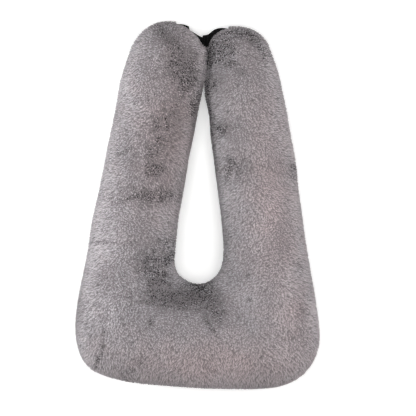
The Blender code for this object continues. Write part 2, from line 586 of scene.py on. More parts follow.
@dataclass
class FilledCover:
    """The plush cover's knitted ground, swelled by its filling under the pile.

    Attributes:
        node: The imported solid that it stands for.
        finish: The ground's finish.
        start_depth: How far under the solid's surface the skin starts.
        voxel: The size of its mesh before it is subdivided.
        pressure: The filling's pressure in the simulation.
        last_frame: The simulation's last frame.
        most_swell: How far the filling may move any point.
        least_depth: The thinnest that the pile may be, to the solid's surface.
        most_depth: The thickest that it may be.
        smoothing: How many times the skin is smoothed, which takes the solid's facets off it.
        underside: How high the pressed underside lies over the floor.
        level_height: Above this height the floor changes nothing.
    """

    node: bpy.types.Object
    finish: GroundFinish = GroundFinish()
    start_depth: float = 4.4 * MM
    voxel: float = 5.4 * MM
    pressure: float = 4.0
    last_frame: int = 20
    most_swell: float = 3.0 * MM
    least_depth: float = 1.9 * MM
    most_depth: float = 3.2 * MM
    smoothing: int = 8
    underside: float = 1.6 * MM
    level_height: float = 45.0 * MM

    def build(self) -> bpy.types.Object:
        """Builds, fills and dresses the cover.

        Returns:
            The cover's object.
        """
        cover = add_shape("plush_cover", self.inset(), self.finish.material())
        remesh = cover.modifiers.new("even mesh", "REMESH")
        remesh.mode = "VOXEL"
        remesh.voxel_size = self.voxel
        apply_modifiers(cover)
        self.fill(cover)
        self.keep_depth(cover)
        even = cover.modifiers.new("even skin", "SMOOTH")
        even.iterations = self.smoothing
        apply_modifiers(cover)
        self.press_flat(cover)
        subdivision = cover.modifiers.new("soft", "SUBSURF")
        subdivision.levels = subdivision.render_levels = 1
        apply_modifiers(cover)
        cover.data.shade_smooth()
        return cover

    def inset(self) -> bmesh.types.BMesh:
        """Shrinks a copy of the solid by the depth that the pile and the swelling take.

        Returns:
            The shrunken copy.
        """
        shape = merged_copy(self.node)
        moves = [vertex.normal * -self.start_depth for vertex in shape.verts]
        for vertex, move in zip(shape.verts, moves):
            vertex.co += move
        return shape

    def fill(self, cover: bpy.types.Object) -> None:
        """Args:
            cover: The cover's object.
        """
        before = read_rows(cover.data.vertices, "co")
        cloth = cover.modifiers.new("filling", "CLOTH")
        cloth.settings.use_pressure = True
        cloth.settings.uniform_pressure_force = self.pressure
        cloth.settings.effector_weights.gravity = 0.0
        cloth.point_cache.frame_end = self.last_frame
        for number in range(1, self.last_frame + 1):
            bpy.context.scene.frame_set(number)
        apply_modifiers(cover)
        bpy.context.scene.frame_set(1)
        moves = read_rows(cover.data.vertices, "co") - before
        reach = np.linalg.norm(moves, axis=1, keepdims=True)
        moves *= np.minimum(1.0, self.most_swell / np.maximum(reach, 1e-9))
        write_points(cover.data, before + moves)

    def keep_depth(self, cover: bpy.types.Object) -> None:
        """Moves the skin where the pile on it would be too thin or too thick.

        Args:
            cover: The cover's object.
        """
        shape = merged_copy(self.node)
        solid = BVHTree.FromBMesh(shape)
        shape.free()
        points = read_rows(cover.data.vertices, "co")
        for point in points:
            place, normal, _, _ = solid.find_nearest(point)
            depth = (place - Vector(point)).dot(normal)
            point += normal * (depth - min(max(depth, self.least_depth), self.most_depth))
        write_points(cover.data, points)

    def press_flat(self, cover: bpy.types.Object) -> None:
        """Lets the cover's weight press its back flat on the floor.

        Args:
            cover: The cover's object.
        """
        points = read_rows(cover.data.vertices, "co")
        height = points[:, 2]
        over = np.maximum(height - self.most_depth, 0.0)
        stretch = (self.level_height - self.underside) / (self.level_height - self.most_depth)
        low = height < self.level_height
        points[low, 2] = (self.underside + over * stretch)[low]
        write_points(cover.data, points)


class Panel(Enum):
    """The pile's pieces, one for each cut piece of plush."""

    FACE_LEFT = "pile_face_left"
    FACE_RIGHT = "pile_face_right"
    BACK_LEFT = "pile_back_left"
    BACK_RIGHT = "pile_back_right"


@dataclass(frozen=True)
class Patch:
    """A soft-edged patch of the cloth, strongest in its middle.

    Attributes:
        x: Its middle, in millimetres.
        y: Its middle, in millimetres.
        along: How far it fades out along its length, in millimetres.
        across: How far it fades out across it, in millimetres.
        turn: The angle from +X to its length, in degrees.
        strength: How strong its middle is, from 0 to 1, or below 0 where it is the opposite.
    """

    x: float
    y: float
    along: float
    across: float
    turn: float
    strength: float

    def at(self, points: np.ndarray) -> np.ndarray:
        """Reads how strong it is at places.

        Args:
            points: Places in metres, one a row.

        Returns:
            A share for each place, near 0 outside the patch.
        """
        turn = math.radians(self.turn)
        x = points[:, 0] / MM - self.x
        y = points[:, 1] / MM - self.y
        u = (x * math.cos(turn) + y * math.sin(turn)) / self.along
        v = (y * math.cos(turn) - x * math.sin(turn)) / self.across
        return self.strength * np.exp(-(u**2 + v**2))


def patched(patches: tuple[Patch, ...], points: np.ndarray) -> np.ndarray:
    """Reads how strong several patches are together.

    Args:
        patches: The patches.
        points: Places in metres, one a row.

    Returns:
        A share for each place, at most 1.
    """
    plain = np.ones(len(points))
    for patch in patches:
        plain *= 1 - patch.at(points)
    return 1 - plain


# Where the pile was ruffled up, so that its locks stand up and part, and painted shade darkens
# their roots and the gaps between the curls. The thin ones are creases, darkened by the same
# painted shade, and those below 0 are brushed smooth and paler, as painted light on their roots.
RUFFLES = tuple(Patch(*row) for row in (
    # Left arm, from its tip
    (-50, 281, 24, 7, -45, 0.6),
    (-38, 241, 26, 16, 70, 0.45),
    (-21, 214, 30, 15, 80, 0.85),
    (-8, 168, 24, 7, 75, 0.5),
    (-55, 140, 32, 16, 75, 0.35),
    (-72, 92, 28, 18, 80, 0.3),
    (-122, 92, 18, 16, 0, 0.2),
    (-72, 62, 15, 13, 60, 0.6),
    (-80, 16, 44, 13, 4, 0.55),
    # Right arm, from its tip
    (41, 262, 22, 20, 0, 0.8),
    (58, 238, 24, 8, -45, 0.6),
    (22, 250, 10, 20, 0, 0.6),
    (72, 288, 26, 6, 0, 0.4),
    (94, 275, 13, 7, -40, 0.8),
    (109, 253, 15, 15, 0, 0.35),
    (24, 202, 15, 8, 80, 0.5),
    (22, 156, 66, 5, -83, 0.55),
    (42, 128, 14, 12, 0, 0.45),
    (62, 66, 24, 20, 60, 0.4),
    (109, 67, 16, 8, 0, 0.3),
    (159, 59, 18, 8, 100, 0.4),
    # Round the neck's end of the hole
    (-58, -64, 16, 14, 0, 0.4),
    (-50, -89, 12, 6, 35, 0.8),
    (-82, -96, 28, 26, 0, 0.3),
    (-68, -120, 30, 16, 90, 0.6),
    (-46, -157, 40, 15, -8, 0.9),
    (9, -148, 24, 17, 0, 0.85),
    (30, -178, 26, 16, -50, 0.55),
    (24, -207, 24, 4, -55, 0.45),
    (-80, -197, 15, 5, 60, 0.35),
    # Base, with the creases of its left side
    (-147, -62, 38, 3, -2, 0.3),
    (-166, -258, 17, 3, 66, 0.7),
    (-156, -219, 22, 3, 85, 0.3),
    (-119, -278, 18, 14, 0, 0.15),
    (-100, -262, 16, 12, 0, 0.15),
    (85, -118, 4, 4, 0, 0.5),
    (88, -157, 4, 4, 0, 0.6),
    (173, -177, 12, 12, 0, 0.2),
    (156, -219, 15, 8, 0, 0.2),
    (168, -101, 16, 12, 90, 0.18),
    # The left side, where the curls stand out a little all over
    (-118, 70, 190, 45, 76, 0.1),
    (-140, -160, 100, 60, 90, 0.1),
    # Brushed smooth
    (128, 40, 26, 120, 10, -0.3),
    (110, -190, 60, 60, 0, -0.2),
    (-140, -50, 30, 60, -10, -0.2),
))

# Patches of painted shade, where the pile is painted darker. Those below 0 are patches of
# painted light, where it is painted paler.
PAINTED_SHADES = tuple(Patch(*row) for row in (
    # Painted shade on the arms' inner sides and the base under the hole
    (38, 194, 75, 16, 92, 0.55),
    (-36, 118, 50, 18, 81, 0.8),
    (-26, 241, 30, 14, 80, 0.25),
    (55, -39, 70, 14, 90, 0.4),
    (-29, -150, 38, 16, 0, 0.4),
    # Painted light on the left side, the right arm's lower end and the tips
    (-97, 227, 50, 20, 60, -0.45),
    (-131, 116, 40, 20, 80, -0.1),
    (-131, -18, 45, 20, 90, -0.4),
    (-151, -143, 60, 24, 80, -0.3),
    (-118, 70, 190, 45, 76, -0.22),
    (-140, -160, 100, 60, 90, -0.22),
    (109, -25, 36, 48, 0, -0.4),
    (-23, 278, 14, 10, 0, -0.4),
    (80, 284, 46, 14, -15, -0.6),
    # Painted light on the left tip's edge where it lies on the right one
    (9, 238, 36, 4.5, 92, -1.6),
    (14, 258, 8, 8, 0, -1.0),
    # Painted highlights on the tips' edges beside the strap
    (5, 279, 11, 2, -61, -1.3),
    (33, 293, 10, 2, 37, -1.3),
    (20, 279, 10, 2, 58, -1.3),
    # Painted shade and painted light elsewhere
    (58, 62, 14, 14, 0, -0.25),
    (142, -130, 130, 18, 97, -0.3),
    (-90, 155, 75, 20, 80, -0.45),
    (-4, 118, 36, 12, 84, 0.8),
    (-36, -34, 32, 16, 84, 0.35),
    (-202, -150, 75, 14, 86, 0.75),
    (62, -135, 24, 20, 0, 0.3),
    (152, 16, 26, 16, 95, 0.2),
    (-6, 268, 14, 14, 0, -0.35),
    (-140, -180, 44, 20, 84, -0.35),
    (30, -186, 150, 20, 0, -0.22),
    (-60, -282, 70, 16, -8, 0.3),
    (120, -284, 60, 18, 8, 0.3),
))

# Where the grey is rosy: up the left arm, down the right one and along the base.
BLUSHES = tuple(Patch(*row) for row in (
    (-50, 120, 160, 46, 80, 1.0),
    (122, 8, 220, 44, 96, 0.85),
    (30, -263, 170, 44, 0, 1.0),
    (165, -190, 50, 30, 90, 0.6),
))


def with_ruffling(setting: tuple[float, float], ruffled: np.ndarray) -> np.ndarray:
    """Reads a setting at places: what it is on smooth pile and what full ruffling adds."""
    return setting[0] + setting[1] * ruffled


@dataclass
class Locks:
    """The pile's locks as arrays, one row a lock.

    Attributes:
        root: Where each lock grows from the ground.
        normal: The ground's direction there.
        tip: Where the lock ends.
        tone: Its brightness: its own tone, with painted shade and painted light on it.
        rosy: How rosy its grey is, from 0 to 1.
        lowest: How low it may reach.
        ruffled: How ruffled the pile is there, from 0 to 1.
    """

    root: np.ndarray
    normal: np.ndarray
    tip: np.ndarray
    tone: np.ndarray
    rosy: np.ndarray
    lowest: np.ndarray
    ruffled: np.ndarray

    def only(self, chosen: np.ndarray) -> "Locks":
        """Picks the locks for which chosen is True."""
        return Locks(*(getattr(self, name)[chosen] for name in self.__dataclass_fields__))


@dataclass
class Pile:
    """The plush's pile, as fine leaning locks that gather in clumps. Angles are in degrees.

    Attributes:
        cover: The ground that the pile grows on.
        straps: The webbing that lies on it.
        finish: The pile's finish.
        locks: How many locks there are in all.
        seed: What the random draws start from.
        length: A lock's usual length.
        lengths: The shortest and the longest lock, as shares of that.
        half_width: Half of a lock's width at its root.
        sink: How deep its root is set in the ground.
        lean: Its angle from the ground's normal.
        lean_wander: How far that changes from place to place.
        lean_patches: Where it does.
        lean_jitter: How far it changes from lock to lock.
        ruffled_lean: The angle where the pile is ruffled up.
        pressed_lean: The angle on the pressed underside.
        pressed_share: The share of locks there, as most are hidden.
        pressed_facing: How squarely the ground faces down there, where 1 is squarely.
        pressed_fade: Over how much of that the pile goes from free to pressed.
        floor_gap: How close to the floor the locks may reach, from least to most.
        under_strap: How far up to the webbing a lock under it reaches, as a share.
        beside_strap: How far a lock over the webbing stands up, as a share of its length.
        lying_share: How far it lies along the ground, as a share of its length.
        rub_start: How far up +Y the webbing starts to rub the pile.
        rub_tests: Where along a lock it is tested, as shares of its length.
        flow: The way that the nap was brushed.
        nap_turn: How far the nap turns from that from place to place.
        nap_patches: Where it does.
        turn_jitter: How far it turns from lock to lock.
        ruffled_jitter: The same where the pile is ruffled up.
        clump_spacing: The least distance between two clumps' middles.
        stray: How far a clump's summit strays, as a share of the length, and what full
            ruffling adds.
        pull: How far tips are drawn to their clump's summit, from least to most.
        ruffled_pull: What full ruffling adds to that.
        summits: The lowest and the highest summit over the ground, as shares of the length.
        parted: The share of clumps that lie parted, so that one looks down to roots, and
            what full ruffling adds.
        parted_height: How high a parted clump is, as a share of another's height.
        parted_shade: How bright a parted clump is painted, as a share of another's brightness:
            painted shade on the roots that show.
        lock_tone: How far the tone changes from lock to lock, and what full ruffling adds.
        clump_tone: How far it changes from clump to clump.
        most_change: How far both may change it, down and up.
        broad_tone: How far it changes over broad patches.
        broad_patches: Where it does.
        ruffled_root_shade: How much darker painted shade makes ruffled pile's roots and parted
            clumps.
        painted_shade_strength: How much darker the patches of painted shade make the pile, and how
            much paler those of painted light.
        side_shade: How much darker painted shade makes it where the ground faces right and left.
        side_facing: How squarely up or down the ground faces where that ends.
        flat_weight: How much of a corner's normal is its own face's.
        ground_weight: How much is the ground's, as fine fibres shade softly.
        least_facing: How far a corner's normal has to face its face's way.
        bake_margin: The margin round a lock in its square of the bake's map, as a share.
        seam_height: Where the face panel meets the back panel.
        seam_width: How far from that seam the pile is caught in it.
        seam_short: How much shorter it is there.
        seam_shade: How much darker painted shade makes it there.
        ruffle_low: How low on the sides the ruffles reach.
        ruffle_fade: How far over that they are at full strength.
        raggedness: How unevenly a patch is ruffled.
        rags: Where it is more or less so.
        ruffles: The ruffled patches of the face.
        painted_shades: The patches of painted shade, and below 0 of painted light.
        blushes: The rosy patches.
        parting: The line between the arms, from the base to the tips, as y and x in
            millimetres.
    """

    cover: bpy.types.Object
    straps: tuple[bpy.types.Object, ...]
    finish: PileFinish = PileFinish()
    locks: int = 228_000
    seed: int = 7
    length: float = 6.4 * MM
    lengths: tuple[float, float] = (0.82, 1.12)
    half_width: float = 0.72 * MM
    sink: float = 0.4 * MM
    lean: float = 36.0
    lean_wander: float = 6.0
    lean_patches: Wander = Wander(12, 50 * MM)
    lean_jitter: float = 6.0
    ruffled_lean: float = 34.0
    pressed_lean: float = 84.0
    pressed_share: float = 0.3
    pressed_facing: float = 0.97
    pressed_fade: float = 0.07
    floor_gap: tuple[float, float] = (0.3 * MM, 1.1 * MM)
    under_strap: float = 0.7
    beside_strap: float = 0.2
    lying_share: float = 0.85
    rub_start: float = 267 * MM
    rub_tests: tuple[float, ...] = (0.3, 0.65, 1.0)
    flow: tuple[float, float, float] = (0.0, -1.0, -0.35)
    nap_turn: float = 42.0
    nap_patches: Wander = Wander(11, 80 * MM)
    turn_jitter: float = 34.0
    ruffled_jitter: float = 45.0
    clump_spacing: float = 2.3 * MM
    stray: tuple[float, float] = (0.13, 0.14)
    pull: tuple[float, float] = (0.4, 0.75)
    ruffled_pull: float = 0.2
    summits: tuple[float, float] = (0.42, 0.8)
    parted: tuple[float, float] = (0.05, 0.15)
    parted_height: float = 0.5
    parted_shade: float = 0.6
    lock_tone: tuple[float, float] = (0.2, 0.3)
    clump_tone: float = 0.04
    most_change: tuple[float, float] = (-0.7, 0.35)
    broad_tone: float = 0.03
    broad_patches: Wander = Wander(13, 60 * MM)
    ruffled_root_shade: float = 0.4
    painted_shade_strength: float = 0.4
    side_shade: tuple[float, float] = (0.25, 0.4)
    side_facing: float = 0.6
    flat_weight: float = 0.9
    ground_weight: float = 1.5
    least_facing: float = 0.2
    bake_margin: float = 0.12
    seam_height: float = 56.0 * MM
    seam_width: float = 2.4 * MM
    seam_short: float = 0.55
    seam_shade: float = 0.35
    ruffle_low: float = 42.0 * MM
    ruffle_fade: float = 6.0 * MM
    raggedness: float = 0.6
    rags: Wander = Wander(14, 14 * MM)
    ruffles: tuple[Patch, ...] = RUFFLES
    painted_shades: tuple[Patch, ...] = PAINTED_SHADES
    blushes: tuple[Patch, ...] = BLUSHES
    parting: tuple[tuple[float, float], ...] = (
        (-310, 3), (-62, 3.6), (116, 7.3), (157, 9.1), (196, 10.1), (222, 14.4), (310, 15.0),
    )

    def build(self) -> dict[Panel, bpy.types.Object]:
        """Grows the pile.

        Returns:
            One object for each panel.
        """
        draw = np.random.default_rng(self.seed)
        locks = self.sow(draw)
        self.comb(locks, draw)
        self.gather(locks, draw)
        self.press(locks)
        self.rub(locks)
        material = self.finish.material()
        return {
            panel: add_object(panel.value, self.panel_mesh(locks.only(chosen), material))
            for panel, chosen in self.panels(locks).items()
        }

    def sow(self, draw: np.random.Generator) -> Locks:
        """Spreads the roots evenly over the ground, fewer on the pressed underside.

        Args:
            draw: The random generator.

        Returns:
            The locks, with no tips yet.
        """
        mesh = self.cover.data
        mesh.calc_loop_triangles()
        corners = read_rows(mesh.loop_triangles, "vertices", int)
        points, normals = (read_rows(mesh.vertices, name) for name in ("co", "normal"))
        a, b, c = (points[corners[:, corner]] for corner in range(3))
        across = np.cross(b - a, c - a)
        share = np.linalg.norm(across, axis=1)
        share[unit(across)[:, 2] < -self.pressed_facing] *= self.pressed_share
        total = np.cumsum(share)
        steps = (np.arange(self.locks) + draw.random(self.locks)) / self.locks
        chosen = np.minimum(np.searchsorted(total, steps * total[-1]), len(share) - 1)
        u, v = draw.random((2, self.locks))
        beyond = u + v > 1
        u[beyond], v[beyond] = 1 - u[beyond], 1 - v[beyond]
        weights = np.stack([1 - u - v, u, v], axis=1)[:, :, None]
        root = (points[corners[chosen]] * weights).sum(axis=1)
        normal = unit((normals[corners[chosen]] * weights).sum(axis=1))
        tone, rosy = np.ones(self.locks), patched(self.blushes, root)
        lowest = draw.uniform(*self.floor_gap, self.locks)
        return Locks(root, normal, root.copy(), tone, rosy, lowest, self.ruffled(root))

    def ruffled(self, points: np.ndarray) -> np.ndarray:
        """Reads how ruffled the pile is at places, from the face down to the rim.

        Args:
            points: The places.

        Returns:
            A share for each place.
        """
        over_low = (points[:, 2] - self.ruffle_low) / self.ruffle_fade
        ragged = 1 + self.raggedness * self.rags.at(points)
        return patched(self.ruffles, points) * ragged * np.clip(over_low, 0, 1)

    def comb(self, locks: Locks, draw: np.random.Generator) -> None:
        """Leans each lock along the nap, which wanders from place to place.

        Args:
            locks: The locks, whose tips and tones are set.
            draw: The random generator.
        """
        count = len(locks.root)
        flow = unit(np.array(self.flow))
        along = unit(flow - (locks.normal @ flow)[:, None] * locks.normal)
        aside = np.cross(locks.normal, along)
        jitter = self.turn_jitter + (self.ruffled_jitter - self.turn_jitter) * locks.ruffled
        turn = self.nap_turn * self.nap_patches.at(locks.root)
        turn = np.radians(turn + draw.normal(0, 1, count) * jitter)
        way = np.cos(turn)[:, None] * along + np.sin(turn)[:, None] * aside
        lean = self.lean + self.lean_wander * self.lean_patches.at(locks.root)
        lean += draw.normal(0, self.lean_jitter, count)
        lean += (self.ruffled_lean - self.lean) * locks.ruffled
        free = self.pressed_facing + locks.normal[:, 2]
        pressed = np.clip(1 - free / self.pressed_fade, 0, 1)
        lean = np.radians(lean * (1 - pressed) + self.pressed_lean * pressed)
        axis = np.cos(lean)[:, None] * locks.normal + np.sin(lean)[:, None] * way
        length = self.length * draw.uniform(*self.lengths, count)
        caught = np.exp(-(((locks.root[:, 2] - self.seam_height) / self.seam_width) ** 2))
        length *= 1 - self.seam_short * caught
        locks.tip = locks.root + axis * length[:, None]
        # Painted shade where the pile is caught in the seam.
        locks.tone *= 1 - self.seam_shade * caught
        # Painted shade on the ground that faces sideways, more on the left.
        sideways = np.clip(1 - np.abs(locks.normal[:, 2]) / self.side_facing, 0, 1)
        locks.tone *= 1 - sideways * np.interp(-locks.normal[:, 0], (-1, 1), self.side_shade)
        # Painted shade and painted light from the patches.
        locks.tone *= 1 - self.painted_shade_strength * patched(self.painted_shades, locks.root)
        locks.tone *= 1 + self.broad_tone * self.broad_patches.at(locks.root)
        change = draw.normal(0, 1, count) * with_ruffling(self.lock_tone, locks.ruffled)
        locks.tone *= 1 + change.clip(*self.most_change)

    def gather(self, locks: Locks, draw: np.random.Generator) -> None:
        """Draws the tips together in clumps, each with a lean, height and tone of its own, and
        painted shade on the parted ones.

        Args:
            locks: The locks, whose tips and tones are changed.
            draw: The random generator.
        """
        count = len(locks.root)
        middles = self.clump_middles(locks, draw)
        tree = sorted_places(locks.root[middles])
        clump = np.array([tree.find(root)[1] for root in locks.root])
        reach = (locks.tip - locks.root)[middles]
        ruffled = locks.ruffled[middles]
        stray = with_ruffling(self.stray, ruffled)
        reach += draw.normal(0, 1, reach.shape) * (stray * self.length)[:, None]
        normal = locks.normal[middles]
        rise = (reach * normal).sum(axis=1)
        parted = draw.random(len(middles)) < with_ruffling(self.parted, ruffled)
        height = self.length * np.where(parted, self.parted_height, 1.0)
        inside = np.clip(rise, *(share * height for share in self.summits))
        reach += (inside - rise)[:, None] * normal
        summit = locks.root[middles] + reach
        pull = draw.uniform(*self.pull, count) + self.ruffled_pull * locks.ruffled
        locks.tip += (summit[clump] - locks.tip) * pull[:, None]
        change = draw.normal(0, self.clump_tone, len(middles))
        tone = 1 + change.clip(*self.most_change)
        # Painted shade on the parted clumps, deeper where the pile is ruffled.
        tone[parted] *= (self.parted_shade * (1 - self.ruffled_root_shade * ruffled))[parted]
        locks.tone *= tone[clump]

    def clump_middles(self, locks: Locks, draw: np.random.Generator) -> np.ndarray:
        """Picks the locks that clumps form round, evenly spread with none too close.

        Args:
            locks: The locks.
            draw: The random generator.

        Returns:
            The picked locks' numbers.
        """
        tree = sorted_places(locks.root)
        free = np.ones(len(locks.root), bool)
        middles = []
        for number in draw.permutation(len(locks.root)):
            if free[number]:
                middles.append(number)
                near = tree.find_range(locks.root[number], self.clump_spacing)
                free[[found[1] for found in near]] = False
        return np.array(middles)

    def near_webbing(self, locks: Locks, axes: int) -> Iterator[tuple[BVHTree, int]]:
        """Finds the locks near each strap.

        Args:
            locks: The locks.
            axes: How many axes count, 3 or only the 2 that are seen from above.

        Yields:
            A strap's surface and the number of a lock near it.
        """
        graph = bpy.context.evaluated_depsgraph_get()
        root = locks.root[:, :axes]
        for strap in self.straps:
            webbing = BVHTree.FromObject(strap, graph)
            corners = np.array(strap.bound_box)[:, :axes]
            low, high = corners.min(axis=0) - self.length, corners.max(axis=0) + self.length
            for number in np.flatnonzero(((root > low) & (root < high)).all(axis=1)):
                yield webbing, number

    def press(self, locks: Locks) -> None:
        """Shortens the locks under the webbing, so that none comes through it.

        Args:
            locks: The locks, whose tips are changed.
        """
        for webbing, number in self.near_webbing(locks, 3):
            root = Vector(locks.root[number])
            way = Vector(locks.tip[number]) - root
            place, _, _, _ = webbing.ray_cast(root, way.normalized(), self.length)
            if place is not None and (place - root).length * self.under_strap < way.length:
                locks.tip[number] = root + (place - root) * self.under_strap

    def rub(self, locks: Locks) -> None:
        """Lays the tips' locks flat that hang out over the webbing, as it rubs them down.

        Args:
            locks: The locks, whose tips are changed.
        """
        ground = BVHTree.FromObject(self.cover, bpy.context.evaluated_depsgraph_get())
        down = Vector((0, 0, -1))
        for webbing, number in self.near_webbing(locks, 2):
            root = Vector(locks.root[number])
            if locks.root[number, 1] <= self.rub_start:
                continue
            way = Vector(locks.tip[number]) - root
            for share in self.rub_tests:
                place = root + way * share
                covered, _, _, drop = webbing.ray_cast(place, down)
                if covered is not None and ground.ray_cast(place, down, drop)[0] is None:
                    normal = Vector(locks.normal[number])
                    along = (way - normal * way.dot(normal)).normalized()
                    laid = normal * self.beside_strap + along * self.lying_share
                    locks.tip[number] = root + laid * way.length
                    break

    def panels(self, locks: Locks) -> dict[Panel, np.ndarray]:
        """Sorts the locks by the cut piece that they grow on.

        Args:
            locks: The locks.

        Returns:
            For each panel, True for each lock on it.
        """
        y_values, x_values = np.array(self.parting).T * MM
        left = locks.root[:, 0] < np.interp(locks.root[:, 1], y_values, x_values)
        face = locks.root[:, 2] > self.seam_height
        return {
            Panel.FACE_LEFT: left & face,
            Panel.FACE_RIGHT: ~left & face,
            Panel.BACK_LEFT: left & ~face,
            Panel.BACK_RIGHT: ~left & ~face,
        }

    def panel_mesh(self, locks: Locks, material: bpy.types.Material) -> bpy.types.Mesh:
        """Joins copies of one three-sided lock into a mesh.

        Args:
            locks: The panel's locks.
            material: The pile's material.

        Returns:
            The mesh, with each lock's tone and rise, and its corner of the bake's map.
        """
        template, faces = self.lock_template()
        side = unit(np.cross(locks.normal, locks.tip - locks.root))
        ahead = np.cross(locks.normal, side)
        count = len(locks.root)
        points = np.empty((count, len(template), 3))
        for number, (x, y, z) in enumerate(template):
            base = locks.root - locks.normal * self.sink + (side * x + ahead * y) * self.half_width
            points[:, number] = base * (1 - z) + locks.tip * z
        points[:, :, 2] = np.maximum(points[:, :, 2], locks.lowest[:, None])
        numbers = (np.arange(count)[:, None, None] * len(template) + faces).ravel()
        mesh = bpy.data.meshes.new("pile")
        mesh.vertices.add(count * len(template))
        write_points(mesh, points)
        mesh.loops.add(len(numbers))
        mesh.loops.foreach_set("vertex_index", numbers.astype(np.int32))
        mesh.polygons.add(len(numbers) // 3)
        mesh.polygons.foreach_set("loop_start", np.arange(0, len(numbers), 3, dtype=np.int32))
        mesh.update(calc_edges=True)
        mesh.shade_smooth()
        mesh.normals_split_custom_set(self.soft_normals(points, faces, locks.normal))
        # Painted shade on the roots of ruffled pile, and paler roots where it was brushed smooth.
        shade = 1 - self.ruffled_root_shade * locks.ruffled[:, None] * (1 - template[:, 2])
        for name, values in {
            "tone": (locks.tone[:, None] * shade).ravel(),
            "rosy": np.repeat(locks.rosy, len(template)),
            "ruffled": np.repeat(locks.ruffled, len(template)),
            "rise": np.tile(template[:, 2], count),
        }.items():
            attribute = mesh.attributes.new(name, "FLOAT", "POINT")
            attribute.data.foreach_set("value", values.astype(np.float32))
        self.add_bake_map(mesh, template, faces, count)
        mesh.materials.append(material)
        return mesh

    def lock_template(self) -> tuple[np.ndarray, np.ndarray]:
        """Makes one lock, a three-sided cone of radius 1 from height 0 to 1.

        Returns:
            Its points, one a row, and its faces as three point numbers a row.
        """
        shape = bmesh.new()
        bmesh.ops.create_cone(
            shape, cap_ends=False, segments=3, radius1=1.0, radius2=0.0, depth=1.0,
            matrix=Matrix.Translation((0, 0, 0.5)),
        )
        bmesh.ops.remove_doubles(shape, verts=shape.verts, dist=TOUCHING)
        shape.verts.index_update()
        points = np.array([vertex.co for vertex in shape.verts])
        faces = np.array([[vertex.index for vertex in face.verts] for face in shape.faces])
        shape.free()
        return points, faces

    def soft_normals(
        self, points: np.ndarray, faces: np.ndarray, ground: np.ndarray
    ) -> np.ndarray:
        """Turns each corner's normal towards the ground's, as fine fibres shade softly.

        Args:
            points: The locks' points, by lock, point and axis.
            faces: The template's faces.
            ground: The ground's normal at each lock.

        Returns:
            One normal for each corner, none against its own face.
        """
        a, b, c = (points[:, faces[:, corner]] for corner in range(3))
        flat = unit(np.cross(b - a, c - a))
        soft = unit(self.flat_weight * flat + self.ground_weight * ground[:, None, :])
        against = self.least_facing - (soft * flat).sum(axis=2, keepdims=True)
        soft = unit(soft + np.maximum(against, 0.0) * flat)
        return np.repeat(soft.reshape(-1, 3), 3, axis=0).astype(np.float32)

    def add_bake_map(
        self, mesh: bpy.types.Mesh, template: np.ndarray, faces: np.ndarray, count: int
    ) -> None:
        """Gives each lock a small square of the bake's map, with its faces on each other.

        Args:
            mesh: The panel's mesh.
            template: The template's points.
            faces: The template's faces.
            count: How many locks there are.
        """
        cells = math.ceil(math.sqrt(count))
        low, high = self.bake_margin, 1 - self.bake_margin
        heights = template[:, 2][faces]
        across = np.full(faces.shape, 0.5)
        for row, is_root in enumerate(heights < 0.5):
            across[row, is_root] = (low, high)
        corner = np.stack([across, low + (high - low) * heights], axis=2).reshape(-1, 2)
        cell = np.stack(np.divmod(np.arange(count), cells)[::-1], axis=1)
        places = (cell[:, None, :] + corner) / cells
        layer = mesh.uv_layers.new(name="OFBake")
        layer.uv.foreach_set("vector", places.astype(np.float32).ravel())


